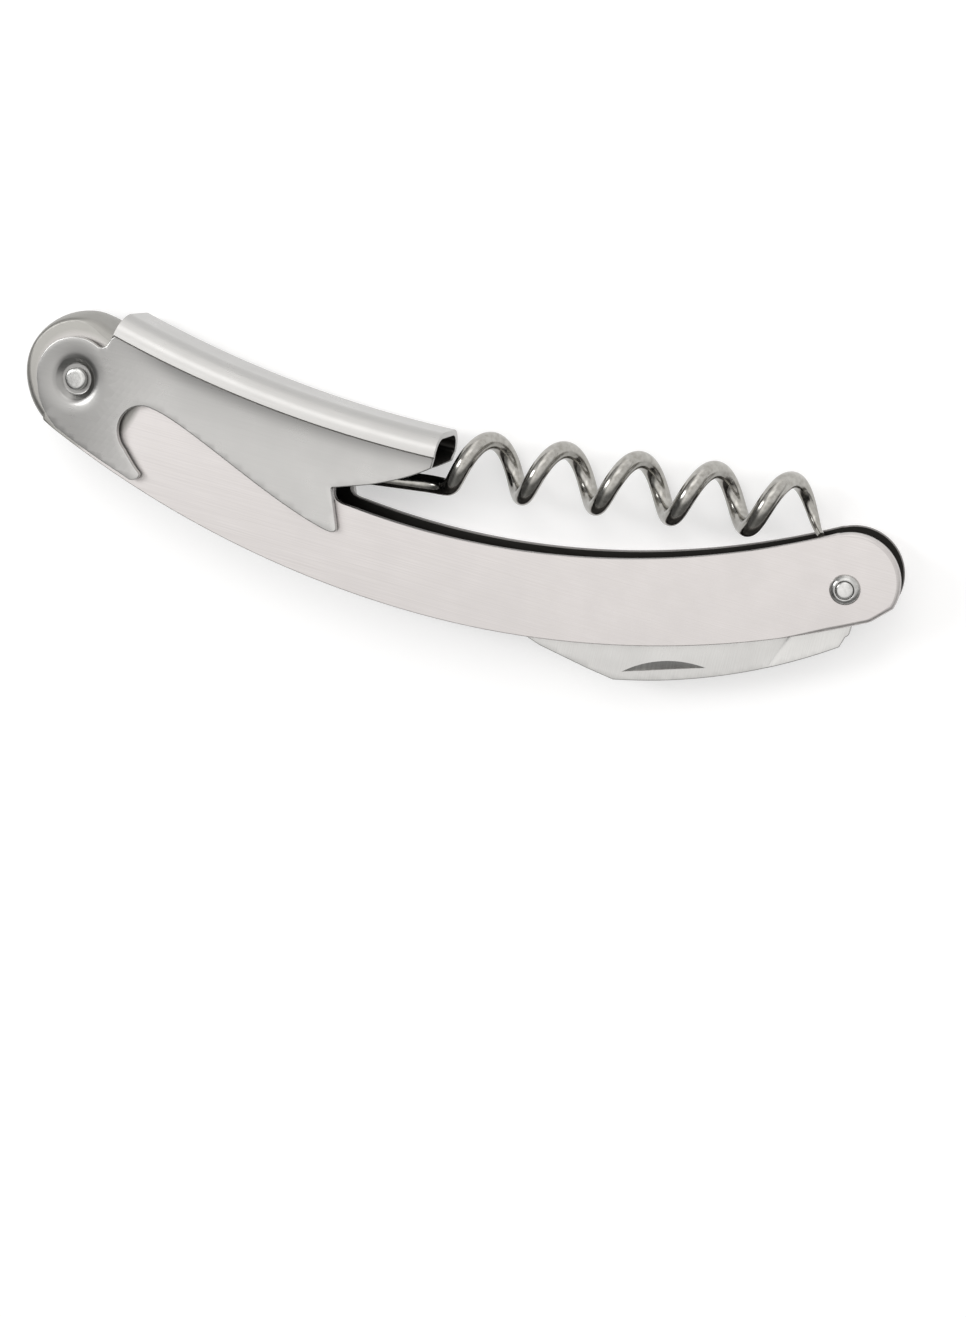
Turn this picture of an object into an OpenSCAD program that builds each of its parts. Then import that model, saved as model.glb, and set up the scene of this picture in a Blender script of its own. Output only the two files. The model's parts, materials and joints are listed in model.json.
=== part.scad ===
// Folding lever corkscrew: a folded steel channel handle that carries a pivoting
// lever, a pivoting worm and a small foil knife.
// The drawing lies in the X-Y plane. X runs from the lever pivot to the knife pivot,
// +Z comes out of the front face, and the closed tool lies on its rear face.

/* [Handle] */
// Distance from the lever pivot to the knife pivot
pivot_span = 107; // [105:0.5:109]
// Outside thickness of the folded handle
handle_t = 8; // [7.6:0.1:8.4]
// Thickness of the handle sheet
sheet_t = 1; // [0.8:0.1:1.1]
// Radius of the rounded nose around the lever pivot, at the two folds
nose_r = 8.1; // [7.9:0.1:8.3]
// Height of the crown of the nose between its two folds
nose_crown = 1.1; // [0.8:0.1:1.2]
// Radius of the hollow edge that faces the worm
hollow_r = 107; // [104:1:110]
// Radius of the belly edge towards the nose
belly_front_r = 143.5; // [138:0.5:148]
// Radius of the belly edge towards the knife
belly_back_r = 122; // [120:0.5:124]
// Radius of the rounded end beside the knife pivot
tail_r = 6.3; // [6:0.1:6.6]
// Where the closed fold stops and the open part begins
step_x = 38.8; // [38.4:0.1:39.2]

/* [Lever] */
// Thickness of the lever sheet
lever_t = 0.8; // [0.7:0.05:0.9]
// Gap between the handle and each lever cheek
cheek_gap = 0.6; // [0.55:0.05:0.8]
// Radius of the ears around the pivot
ear_r = 5.7; // [5.5:0.1:5.9]
// Height of the rounded back above its crease
back_h = 3.2; // [3:0.1:3.4]
// Radius of the rounded corners of the back
back_round = 3; // [2.6:0.1:3.1]
// Radius of the crown cap hook
hook_r = 3.6; // [3.4:0.1:3.8]
// Depth of the dish pressed into each ear around the rivet head
dish_depth = 0.7; // [0.6:0.05:0.8]
// Outside radius of the dish
dish_r = 3.1; // [2.9:0.1:3.3]
// Width of the dish's sloping wall
dish_wall = 1.2; // [0.8:0.1:1.3]

/* [Worm] */
// Diameter of the worm wire
wire_d = 2.4; // [2.2:0.1:2.6]
// Mean radius of the helix
coil_r = 3.4; // [3.3:0.05:3.5]
// Advance of the helix in one turn
pitch = 9.95; // [9.8:0.05:10.1]
// Number of turns
turns = 4.97; // [4.9:0.01:5]
// Slope of the worm to the line between the pivots
worm_slope = 7.5; // [7:0.1:8]

/* [Knife] */
// Thickness of the blade
blade_t = 1.5; // [1.2:0.1:1.8]
// Radius of the tang around the knife pivot
tang_r = 4.4; // [4.2:0.1:4.5]

/* [Fasteners] */
// Diameter of the lever rivet
lever_rivet_d = 2.4; // [2.2:0.1:2.6]
// Diameter of the lever rivet heads
lever_head_d = 3; // [2.9:0.1:3.2]
// Diameter of the worm pin
worm_pin_d = 2.4; // [2.2:0.1:2.6]
// Diameter of the knife rivet
knife_rivet_d = 2.2; // [2:0.1:2.4]
// Diameter of the conical burr under each knife rivet end
burr_d = 3.9; // [3.6:0.1:4]
// Height of the burrs
burr_h = 0.6; // [0.4:0.1:0.8]
// Diameter of the pins that hold the back spring
spring_pin_d = 1.8; // [1.6:0.1:2]
// Outside diameter of the bushing between the walls at the lever pivot
bushing_d = 4.6; // [4.2:0.1:5]
// Outside diameter of the spacers beside the worm
worm_spacer_d = 4.8; // [4.4:0.1:5.2]
// Outside diameter of the spacers beside the knife
knife_spacer_d = 6; // [5.6:0.1:6.4]
// Radial clearance of every turning fit
run_gap = 0.05; // [0.03:0.01:0.08]

/* [Hidden] */
$fn = 96;

// Centre of the tail, and the middle of the closed tool's box seen from the lever pivot
tail_c = [pivot_span + 0.35, 1];
box_mid_x = (tail_c[0] + tail_r - nose_r - nose_crown) / 2;
box_mid_y = -4.186;

// Height of the tools that cut through everything
through = 10;

// Half thicknesses, measured from the middle plane
wall_out = handle_t / 2;
wall_in = wall_out - sheet_t;
cheek_in = wall_out + cheek_gap;
cheek_out = cheek_in + lever_t;
slip = 0.03;

// Centres of the long arcs
back_c = [44.8, 176.4];
hollow_c = [51.4, -7.4 + hollow_r];
belly_x = 52;
belly_y = -18.5;
// Radii about back_c: the handle fold meets the nose tangentially
fold_line_r = norm(back_c) - nose_r;
crease_r = 174.1;
back_top_r = crease_r - back_h;
fold_end_x = 30;
nose_stop = 234;
// Angles about the lever pivot that the crown spans, and its step from the side faces
crown_start = 62;
crown_stop = nose_stop - 2.5;
crown_step = 0.2;
// Corner where the belly edge ends, and the angle where the round of the tail starts
tail_corner_x = 110.3;
tail_start = -17;

// Angles about back_c where the lever back starts and stops
back_start = -103.4;
back_stop = -87.76;

// Hidden pivot of the worm and the pins of the back spring
worm_pivot = [34.5, -1.5];
spring_pin_a = [19.5, 0.2];
spring_pin_b = [27.2, -3.2];
spring_t = 1.6;
spring_recess = 2.2;
spring_pad_r = 2.2;
spring_arm_from_x = 26.5;
spring_arm_to_x = 101.8;
knife_pivot = [pivot_span, 0];
hook_c = [10.9, -4.7];
dish_floor_t = 0.5;
dome_share = 0.6;
belly_gap = 0.85;

// Nail nick of the knife: radius, height over its chord, depth and turn
nick_r = 14;
nick_rise = 1.3;
nick_depth = 0.45;
nick_turn = 19;

// How far the knife rivet stands over its burr, and the rounding of its end
rivet_proud = 0.25;
rivet_round = 0.12;
burr_slope = 0.6;

// Worm: its eye goes round the pin, and the straight shank bends into the helix
eye_r = worm_pin_d / 2 + run_gap + wire_d / 2;
helix_from = 18.2;
join_turn = 0.12;
shank_end = 14.8;
tip_turns = 0.55;
rings_per_turn = 28;
wire_sides = 12;

// Points along an arc from angle a0 to angle a1
function arc(c, r, a0, a1, n) = [
  for (i = [0:n]) let (a = a0 + (a1 - a0) * i / n) c + r * [cos(a), sin(a)]
];

// Points along a cubic curve with end points p and s and handles q and r
function curve(p, q, r, s, n) = [
  for (i = [0:n]) let (t = i / n, k = 1 - t)
    k * k * k * p + 3 * k * k * t * q + 3 * k * t * t * r + t * t * t * s
];

// Angle about a centre of the point of a circle at a given x, on its lower side
function low_angle(c, r, x) = -acos((x - c[0]) / r);

// Puts the drawing into the part's own frame, lying on its rear face
module seat() {
  translate([-box_mid_x, -box_mid_y, cheek_out]) children();
}

// A round bar along Z between two heights
module bar(c, d, z0, z1) {
  translate([c[0], c[1], z0]) cylinder(d = d, h = z1 - z0);
}

// A tube along Z between two heights
module tube(c, d, bore, z0, z1) {
  difference() {
    bar(c, d, z0, z1);
    bar(c, bore, z0 - 1, z1 + 1);
  }
}

// ---- handle ----

// Outline of the channel: belly edge, tail, hollow edge, step, folded back and nose
module channel_outline() {
  tangent = atan2(back_c[1], back_c[0]);
  belly_front_c = [belly_x, belly_y + belly_front_r];
  belly_back_c = [belly_x, belly_y + belly_back_r];
  belly_from = low_angle(belly_front_c, belly_front_r, -4);
  corner_angle = low_angle(belly_back_c, belly_back_r, tail_corner_x);
  corner = belly_back_c + belly_back_r * [cos(corner_angle), sin(corner_angle)];
  foot_angle = low_angle(hollow_c, hollow_r, step_x + 2.4);
  foot = hollow_c + hollow_r * [cos(foot_angle), sin(foot_angle)];
  shoulder_angle = low_angle(back_c, fold_line_r, step_x - 3.2);
  shoulder = back_c + fold_line_r * [cos(shoulder_angle), sin(shoulder_angle)];
  polygon(concat(
    arc(belly_front_c, belly_front_r, belly_from, -90, 24),
    arc(belly_back_c, belly_back_r, -89, corner_angle, 24),
    curve(corner + [0.1, 0.05], corner + [0.6, 0.3], corner + [0.8, 0.4], corner + [1.3, 0.95], 4),
    arc(tail_c, tail_r, tail_start, 116, 32),
    arc(hollow_c, hollow_r, low_angle(hollow_c, hollow_r, tail_c[0] - 3.1), foot_angle, 36),
    curve(foot + [-0.2, 0], foot + [-1.6, 0], [step_x, foot[1] + 0.4], [step_x, foot[1] + 1.8], 8),
    curve([step_x, -2], [step_x, shoulder[1] - 0.6], shoulder + [1.6, 0], shoulder, 8),
    arc(back_c, fold_line_r, shoulder_angle - 0.2, tangent - 180, 24),
    arc([0, 0], nose_r, tangent + 3, nose_stop, 48)
  ));
}

// Hollow between the side walls: it leaves the web round the nose and along the back
module channel_hollow() {
  tangent = atan2(back_c[1], back_c[0]);
  web_r = fold_line_r + sheet_t;
  beyond_nose = nose_r + nose_crown + 2;
  far_x = pivot_span + 30;
  far_y = 40;
  polygon(concat(
    [beyond_nose * [cos(nose_stop - 1), sin(nose_stop - 1)], [0, -far_y]],
    [[far_x, -far_y], [far_x, far_y], [fold_end_x, far_y]],
    arc(back_c, web_r, low_angle(back_c, web_r, fold_end_x), tangent - 180, 24),
    arc([0, 0], nose_r - sheet_t, tangent + 3, nose_stop - 1, 48)
  ));
}

// Round bulge of the nose between its two folds
module crown() {
  round_r = (pow(wall_out, 2) + pow(nose_crown, 2)) / (2 * nose_crown);
  half_h = wall_out - crown_step;
  rotate([0, 0, crown_start]) rotate_extrude(angle = crown_stop - crown_start) intersection() {
    translate([nose_r + nose_crown - round_r, 0]) circle(r = round_r);
    translate([nose_r - sheet_t / 2, -half_h]) square([nose_crown + sheet_t, 2 * half_h]);
  }
}

module handle_channel() {
  color([0.86, 0.84, 0.83]) seat() difference() {
    union() {
      translate([0, 0, -wall_out]) linear_extrude(handle_t) channel_outline();
      crown();
    }
    translate([0, 0, -wall_in]) linear_extrude(2 * wall_in) channel_hollow();
    bar([0, 0], lever_rivet_d, -through, through);
    bar(knife_pivot, knife_rivet_d, -through, through);
    bar(worm_pivot, worm_pin_d, -through, through);
    bar(spring_pin_a, spring_pin_d, -through, through);
    bar(spring_pin_b, spring_pin_d, -through, through);
  }
}

// Spring bar: a pad on two pins, and a long arm under the hollow edge up to the tang
module back_spring() {
  arm_r = hollow_r + spring_recess;
  arm_from = low_angle(hollow_c, arm_r, spring_arm_from_x);
  arm_to = low_angle(hollow_c, arm_r, spring_arm_to_x);
  width = 2 * wall_in - 2 * slip;
  arm_start = hollow_c + (arm_r + spring_t / 2) * [cos(arm_from), sin(arm_from)];
  color([0.45, 0.45, 0.46]) seat() translate([0, 0, -width / 2]) difference() {
    union() {
      translate(hollow_c) rotate([0, 0, arm_from]) rotate_extrude(angle = arm_to - arm_from)
        translate([arm_r, 0]) square([spring_t, width]);
      linear_extrude(width) hull() {
        translate(spring_pin_a) circle(r = spring_pad_r, $fn = 32);
        translate(spring_pin_b) circle(r = spring_pad_r, $fn = 32);
        translate(arm_start) circle(r = spring_t / 2, $fn = 32);
      }
    }
    bar(spring_pin_a, spring_pin_d, -through, through);
    bar(spring_pin_b, spring_pin_d, -through, through);
  }
}

module spring_pins() {
  color([0.7, 0.7, 0.7]) seat() {
    bar(spring_pin_a, spring_pin_d, -wall_out, wall_out);
    bar(spring_pin_b, spring_pin_d, -wall_out, wall_out);
  }
}

// ---- lever pivot ----

module lever_bushing() {
  color([0.75, 0.75, 0.75]) seat() tube([0, 0], bushing_d, lever_rivet_d, -wall_in, wall_in);
}

// Rivet with a low domed head in the dish of each ear
module lever_rivet() {
  head_h = dish_depth - slip;
  dome_h = dome_share * head_h;
  dome_r = (pow(lever_head_d / 2, 2) + pow(dome_h, 2)) / (2 * dome_h);
  color([0.8, 0.8, 0.8]) seat() {
    bar([0, 0], lever_rivet_d, -cheek_out + head_h, cheek_out - head_h);
    for (s = [0, 1]) mirror([0, 0, s]) intersection() {
      bar([0, 0], lever_head_d, cheek_out - head_h, cheek_out);
      translate([0, 0, cheek_out - dome_r]) sphere(r = dome_r);
    }
  }
}

module lever_washer(side) {
  dish_under = cheek_out - dish_depth - dish_floor_t;
  low = side > 0 ? wall_out + slip : -dish_under + slip;
  high = side > 0 ? dish_under - slip : -wall_out - slip;
  color([0.6, 0.6, 0.6]) seat() tube([0, 0], 2 * dish_r, lever_rivet_d, low, high);
}

// ---- lever ----

// Outline of one cheek: ear, belly edge, cap hook, long curved edge, tooth and lip seat
module cheek_outline() {
  belly_c = [belly_x, belly_y + belly_front_r];
  belly_r = belly_front_r - belly_gap;
  crease_from = low_angle(back_c, crease_r, 51.6);
  polygon(concat(
    arc(back_c, crease_r - 0.1, crease_from, back_start, 24),
    [[3.75, 5.5], [3.2, 5.15]],
    arc([0, 0], ear_r, 63, 202, 24),
    curve([-5.1, -2.8], [-4.7, -4.1], [-3.9, -5.2], [-2.5, -6.5], 6),
    arc(belly_c, belly_r, low_angle(belly_c, belly_r, -1.6), low_angle(belly_c, belly_r, 9.6), 6),
    curve([10.2, -11.45], [11, -11.55], [12.1, -10.7], [11.3, -10.1], 6),
    curve([11, -9.9], [10.2, -9.2], [9.6, -8.5], [9, -7.9], 4),
    arc(hook_c, hook_r, 234, 76, 24),
    curve([12.4, -1.3], [18.5, -2.6], [30.5, -9], [39.1, -10.75], 24),
    curve([39.6, -10.8], [40.4, -10.8], [40.7, -10.5], [40.4, -9.8], 5),
    curve([38.8, -5.4], [38.65, -4.95], [38.8, -4.9], [39.1, -4.85], 4),
    curve([41.5, -4], [44.5, -3.1], [49, -1], [51.7, 1.2], 10)
  ));
}

// Section of the rounded back, with its top at x = 0 and the metal towards +x
module back_section(half_w, round_r, depth) {
  square_w = half_w - round_r;
  translate([0, -square_w]) square([depth, 2 * square_w]);
  intersection() {
    for (s = [-1, 1]) translate([round_r, s * square_w]) circle(r = round_r, $fn = 64);
    translate([0, -half_w]) square([depth, 2 * half_w]);
  }
  translate([round_r, -half_w]) square([depth - round_r, 2 * half_w]);
}

module lever() {
  dish_under = cheek_out - dish_depth - dish_floor_t;
  color([0.74, 0.74, 0.73]) seat() difference() {
    union() {
      for (s = [-1, 1]) {
        translate([0, 0, s > 0 ? cheek_in : -cheek_out]) linear_extrude(lever_t) cheek_outline();
        mirror([0, 0, s > 0 ? 0 : 1]) bar([0, 0], 2 * dish_r + 1, dish_under, cheek_out);
      }
      translate(back_c) rotate([0, 0, back_start]) rotate_extrude(angle = back_stop - back_start)
        translate([back_top_r, 0]) difference() {
          back_section(cheek_out, back_round, back_h);
          translate([lever_t, 0]) back_section(cheek_in, back_round - lever_t, back_h);
        }
    }
    bar([0, 0], lever_rivet_d + 2 * run_gap, -through, through);
    for (s = [0, 1]) mirror([0, 0, s]) translate([0, 0, cheek_out - dish_depth])
      cylinder(r1 = dish_r - dish_wall, r2 = dish_r, h = dish_depth + 0.01);
  }
}

// ---- worm ----

module worm_pin() {
  color([0.7, 0.7, 0.7]) seat() bar(worm_pivot, worm_pin_d, -wall_out, wall_out);
}

module worm_spacer(side) {
  low = side > 0 ? wire_d / 2 + slip : -wall_in;
  high = side > 0 ? wall_in : -wire_d / 2 - slip;
  color([0.6, 0.6, 0.6]) seat() tube(worm_pivot, worm_spacer_d, worm_pin_d, low, high);
}

// Place on the helix after a number of turns, starting at its lowest point
function helix(n) = [
  helix_from + pitch * n, coil_r - eye_r - coil_r * cos(360 * n), coil_r * sin(360 * n)
];
function helix_way(n) = [pitch, 2 * PI * coil_r * sin(360 * n), 2 * PI * coil_r * cos(360 * n)];

// Wire centre line: straight shank, a short bend and the helix
join_at = helix(join_turn);
join_way = helix_way(join_turn) / norm(helix_way(join_turn));
shank_path = [for (i = [0:4]) [shank_end * i / 4, -eye_r, 0]];
bend_start = [shank_end, -eye_r, 0];
bend_path = curve(bend_start, bend_start + [2.8, 0, 0], join_at - 2 * join_way, join_at, 10);
helix_path = [
  for (i = [1:round((turns - join_turn) * rings_per_turn)]) helix(join_turn + i / rings_per_turn)
];
worm_path = concat(shank_path, [for (i = [1:10]) bend_path[i]], helix_path);

// Wire radius: full, then ground to a point over the last stretch
function wire_r(i) = let (left = (len(worm_path) - 1 - i) / rings_per_turn)
  wire_d / 2 * (left > tip_turns ? 1 : 0.1 + 0.9 * sqrt(left / tip_turns));

// Round bar swept along a path, with every ring square to the path
module sweep(path, sides) {
  last = len(path) - 1;
  ways = [
    for (i = [0:last]) let (d = path[min(i + 1, last)] - path[max(i - 1, 0)]) d / norm(d)
  ];
  points = [
    for (i = [0:last]) let (u = cross([1, 0.3, 0.2], ways[i]), a = u / norm(u), b = cross(ways[i], a))
      for (k = [0:sides - 1]) path[i] + wire_r(i) * (cos(360 * k / sides) * a + sin(360 * k / sides) * b)
  ];
  skin = [
    for (i = [0:last - 1]) for (k = [0:sides - 1]) let (n = (k + 1) % sides)
      [i * sides + k, (i + 1) * sides + k, (i + 1) * sides + n, i * sides + n]
  ];
  ends = [[for (k = [0:sides - 1]) k], [for (k = [sides - 1:-1:0]) last * sides + k]];
  polyhedron(points, concat(skin, ends));
}

// Wire bent into an eye around its pin, a straight shank and a left-hand helix
module worm() {
  color([0.55, 0.54, 0.5]) seat() translate(worm_pivot) rotate([0, 0, worm_slope]) {
    rotate([0, 0, -90]) rotate_extrude(angle = 360) translate([eye_r, 0]) circle(d = wire_d, $fn = 48);
    sweep(worm_path, wire_sides);
  }
}

// ---- knife ----

// Blade and tang, closed: the spine hangs out under the belly edge
module blade_outline() {
  spine_c = [pivot_span - 42.2, 50.4];
  spine_r = 72.7;
  heel_x = pivot_span + 2;
  translate(knife_pivot) circle(r = tang_r);
  polygon(concat(
    [[pivot_span - 47, -15.6], [pivot_span - 36.9, -18.8], [pivot_span - 30, -20]],
    arc(spine_c, spine_r, low_angle(spine_c, spine_r, pivot_span - 26.2),
      low_angle(spine_c, spine_r, pivot_span + 1.3), 16),
    [[heel_x, -6.2], [heel_x, -2], [pivot_span - 3, -2]],
    curve([pivot_span - 6, -4.5], [pivot_span - 16, -10.5],
      [pivot_span - 30, -12.5], [pivot_span - 46.4, -15], 16)
  ));
}

// The nail nick is the slice of a circle above a straight chord
module knife_blade() {
  nick_place = [pivot_span - 20, -17.3, blade_t / 2 - nick_depth];
  color([0.8, 0.8, 0.8]) seat() difference() {
    translate([0, 0, -blade_t / 2]) linear_extrude(blade_t) blade_outline();
    bar(knife_pivot, knife_rivet_d + 2 * run_gap, -through, through);
    translate(nick_place) rotate([0, 0, nick_turn]) linear_extrude(1) intersection() {
      translate([0, nick_rise - nick_r]) circle(r = nick_r);
      translate([-nick_r, 0]) square([2 * nick_r, nick_r]);
    }
  }
}

// Rivet with a flat peened end that stands a little above each burr
module knife_rivet() {
  end_h = burr_h + rivet_proud;
  color([0.85, 0.85, 0.85]) seat() intersection() {
    bar(knife_pivot, knife_rivet_d, -wall_out - end_h, wall_out + end_h);
    translate(knife_pivot) sphere(r = norm([wall_out + end_h - rivet_round, knife_rivet_d / 2]));
  }
}

module knife_burr(side) {
  color([0.6, 0.6, 0.6]) seat() mirror([0, 0, side > 0 ? 0 : 1]) difference() {
    translate([knife_pivot[0], knife_pivot[1], wall_out])
      cylinder(d1 = burr_d, d2 = burr_d - 2 * burr_slope, h = burr_h);
    bar(knife_pivot, knife_rivet_d, 0, through);
  }
}

module knife_spacer(side) {
  low = side > 0 ? blade_t / 2 + slip : -wall_in;
  high = side > 0 ? wall_in : -blade_t / 2 - slip;
  color([0.7, 0.65, 0.45]) seat() tube(knife_pivot, knife_spacer_d, knife_rivet_d, low, high);
}

handle_channel();
back_spring();
spring_pins();
lever_bushing();
lever_rivet();
lever_washer(1);  // lever_washer_front
lever_washer(-1);  // lever_washer_rear
lever();
worm_pin();
worm();
worm_spacer(1);  // worm_spacer_front
worm_spacer(-1);  // worm_spacer_rear
knife_blade();
knife_rivet();
knife_spacer(1);  // knife_spacer_front
knife_spacer(-1);  // knife_spacer_rear
knife_burr(1);  // knife_burr_front
knife_burr(-1);  // knife_burr_rear
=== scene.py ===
"""Looks of the folding lever corkscrew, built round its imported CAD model.

The pieces are drawn in millimetres in the drawing plane of the part: the lever pivot is the
origin, X runs to the knife pivot, +Z comes out of the front face and z = 0 is the middle plane.
Every finished mesh is then moved into the frame, in metres.
"""

import json
import math

import bmesh
import bpy
from mathutils import Matrix, Vector
from mathutils.geometry import delaunay_2d_cdt
from mathutils.kdtree import KDTree


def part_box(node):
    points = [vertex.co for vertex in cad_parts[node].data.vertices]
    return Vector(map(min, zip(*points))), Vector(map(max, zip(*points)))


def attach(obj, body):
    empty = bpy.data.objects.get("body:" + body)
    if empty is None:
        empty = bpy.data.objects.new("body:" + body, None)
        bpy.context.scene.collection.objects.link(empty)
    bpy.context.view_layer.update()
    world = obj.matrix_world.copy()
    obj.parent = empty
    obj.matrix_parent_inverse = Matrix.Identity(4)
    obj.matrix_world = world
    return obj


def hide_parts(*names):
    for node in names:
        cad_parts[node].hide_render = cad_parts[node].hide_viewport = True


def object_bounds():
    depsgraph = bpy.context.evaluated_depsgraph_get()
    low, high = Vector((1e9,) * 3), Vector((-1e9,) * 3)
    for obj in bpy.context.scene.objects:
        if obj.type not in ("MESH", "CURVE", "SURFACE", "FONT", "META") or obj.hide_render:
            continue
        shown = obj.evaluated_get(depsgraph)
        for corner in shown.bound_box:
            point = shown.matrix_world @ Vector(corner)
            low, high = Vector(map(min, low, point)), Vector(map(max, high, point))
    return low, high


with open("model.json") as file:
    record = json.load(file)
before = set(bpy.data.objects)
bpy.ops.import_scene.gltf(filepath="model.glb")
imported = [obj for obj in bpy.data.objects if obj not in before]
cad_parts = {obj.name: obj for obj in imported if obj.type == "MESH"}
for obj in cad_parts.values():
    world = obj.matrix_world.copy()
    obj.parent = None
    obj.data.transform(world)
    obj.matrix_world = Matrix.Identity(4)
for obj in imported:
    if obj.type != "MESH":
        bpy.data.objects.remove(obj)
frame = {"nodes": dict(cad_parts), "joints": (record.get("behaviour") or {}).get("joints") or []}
cad_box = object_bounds()

# ---- sizes, in millimetres ----

MM = 0.001
joints = {j["name"]: Vector(j["pos_m"]) for j in frame["joints"]}
ORIGIN = joints["lever_pivot"].copy()
ORIGIN.z = (cad_box[0].z + cad_box[1].z) / 2
DRAWING = Matrix.Translation(ORIGIN) @ Matrix.Scale(MM, 4)


def in_drawing(point):
    """A point of the frame, in drawing millimetres."""
    return (point - ORIGIN) / MM


SPAN = in_drawing(joints["knife_pivot"]).x
WORM_PIVOT = in_drawing(joints["worm_pivot"]).xy
WALL_OUT = in_drawing(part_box("handle_channel")[1]).z
CHEEK_OUT = in_drawing(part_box("lever")[1]).z
PLAY = 0.03
WIRE_R = in_drawing(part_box("worm_spacer_front")[0]).z - PLAY
BLADE_HALF = in_drawing(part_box("knife_blade")[1]).z

# Sheets, and the folded forms of the handle and the lever.
SHEET = 1.0
WALL_IN = WALL_OUT - SHEET
NOSE_R = 8.1
NOSE_CROWN = 0.9
LEVER_SHEET = 0.8
BACK_H = 3.2
BACK_ROUND = 3.0
CREASE_R = 174.1
STEP_X = 38.8

# Middles and radii of the arcs that make the outlines.
BACK_C = Vector((44.8, 176.4))
HOLLOW_R = 107.0
HOLLOW_C = Vector((51.4, HOLLOW_R - 7.4))
BELLY_LOW = Vector((52.0, -18.5))
BELLY_FRONT_R = 143.5
BELLY_BACK_R = 122.0
TAIL_C = Vector((SPAN + 0.35, 1.0))
TAIL_R = 6.29
TAIL_CORNER_X = 110.3
HOOK_C = Vector((10.9, -4.7))
HOOK_R = 3.6

# Rivets and pins: their places and shank radii, and the gap round them in a part that turns.
SPRING_PINS = (Vector((19.5, 0.2)), Vector((27.2, -3.2)))
KNIFE_PIVOT = Vector((SPAN, 0.0))
LEVER_RIVET_R = 1.2
KNIFE_RIVET_R = 1.1
WORM_PIN_R = 1.2
SPRING_PIN_R = 0.9
PIVOT_GAP = 0.05

# ---- plane curves ----

SAME_PLACE = 0.02


def arc(centre, radius, start, stop, count):
    """Points along an arc, angles in degrees."""
    points = []
    for k in range(count + 1):
        angle = math.radians(start + (stop - start) * k / count)
        points.append(Vector(centre) + radius * Vector((math.cos(angle), math.sin(angle))))
    return points


def curve(p, q, r, s, count):
    """Points along a cubic curve with end points p and s and handles q and r."""
    points = []
    for n in range(count + 1):
        t = n / count
        k = 1 - t
        point = k**3 * Vector(p) + 3 * k * k * t * Vector(q)
        point += 3 * k * t * t * Vector(r)
        point += t**3 * Vector(s)
        points.append(point)
    return points


def low_angle(centre, radius, x):
    """Angle about a centre of the point of a circle at a given x, on its lower side."""
    return -math.degrees(math.acos((x - centre[0]) / radius))


def spaced(points, step, closed=True):
    """The line through the points, cut into pieces about as long as step. An open line keeps its end."""
    line = []
    for a, b in zip(points, points[1:] + (points[:1] if closed else [])):
        length = (b - a).length
        if length < SAME_PLACE:
            continue
        cuts = max(1, round(length / step))
        line += [a.lerp(b, k / cuts) for k in range(cuts)]
    return line if closed else line + [points[-1]]


def inward(loop):
    """Unit normals of a closed loop, on the side where the material is."""
    normals = []
    for k in range(len(loop)):
        way = loop[(k + 1) % len(loop)] - loop[k - 1]
        normals.append(Vector((-way.y, way.x)).normalized())
    return normals


def smooth(t):
    """0 below t = 0, 1 above t = 1, and a soft step in between."""
    t = min(1.0, max(0.0, t))
    return t * t * (3 - 2 * t)


# ---- meshes ----


class Skin:
    """Points and faces of one mesh. Points at the same place are one point.

    New faces are marked with the current tone, how far they are darkened: 0 is the finished surface, 1 the
    inside, painted near-black as shade.
    """

    def __init__(self):
        self.points = []
        self.faces = []
        self.index = {}
        self.tone = 0.0
        self.tones = []

    def point(self, p):
        key = tuple(round(c, 4) for c in p)
        if key not in self.index:
            self.index[key] = len(self.points)
            self.points.append(key)
        return self.index[key]

    def face(self, points):
        """One face, without the corners that fall together."""
        corners = []
        for p in points:
            k = self.point(p)
            if k not in corners:
                corners.append(k)
        if len(corners) > 2:
            self.faces.append(corners)
            self.tones.append(self.tone)

    def strip(self, a, b):
        """Quads between two lines of points."""
        for k in range(len(a) - 1):
            self.face((a[k], a[k + 1], b[k + 1], b[k]))

    def mirrored(self):
        """Adds the same faces on the other side of the middle plane."""
        for face, tone in list(zip(self.faces, self.tones)):
            self.tone = tone
            self.face([(self.points[k][0], self.points[k][1], -self.points[k][2]) for k in face])


def within(p, loop):
    """Whether a point lies inside a closed loop."""
    crossings = 0
    for a, b in zip(loop, loop[1:] + loop[:1]):
        if (a.y > p.y) != (b.y > p.y) and p.x < a.x + (b.x - a.x) * (p.y - a.y) / (b.y - a.y):
            crossings += 1
    return crossings % 2 == 1


def in_any(p, holes):
    """Whether a point lies inside one of the holes, each given with its middle and reach."""
    return any((p - middle).length < reach and within(p, hole) for hole, middle, reach in holes)


def fill(loops, inside):
    """Triangles over the first loop, less the other loops, through the loose points inside."""
    holes = []
    for hole in loops[1:]:
        middle = sum(hole, Vector((0, 0))) / len(hole)
        holes.append((hole, middle, max((p - middle).length for p in hole)))
    loose = [p for p in inside if not in_any(p, holes)]
    flat = [p for loop in loops for p in loop] + loose
    edges = []
    start = 0
    for loop in loops:
        edges += [(start + k, start + (k + 1) % len(loop)) for k in range(len(loop))]
        start += len(loop)
    points, _, faces, sources, _, _ = delaunay_2d_cdt(flat, edges, [], 2, 1e-6)
    exact = [flat[ids[0]] if ids else p for p, ids in zip(points, sources)]
    triangles = [[exact[k] for k in face] for face in faces]
    return [t for t in triangles if not in_any((t[0] + t[1] + t[2]) / 3, holes)]


def up(p, z):
    return Vector((p.x, p.y, z))


def face_over(skin, loops, inside, height):
    """A face over flat loops, at a height that may change from place to place."""
    for triangle in fill(loops, inside):
        skin.face([up(p, height(p)) for p in triangle])


ROUND_STEPS = 5


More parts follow.
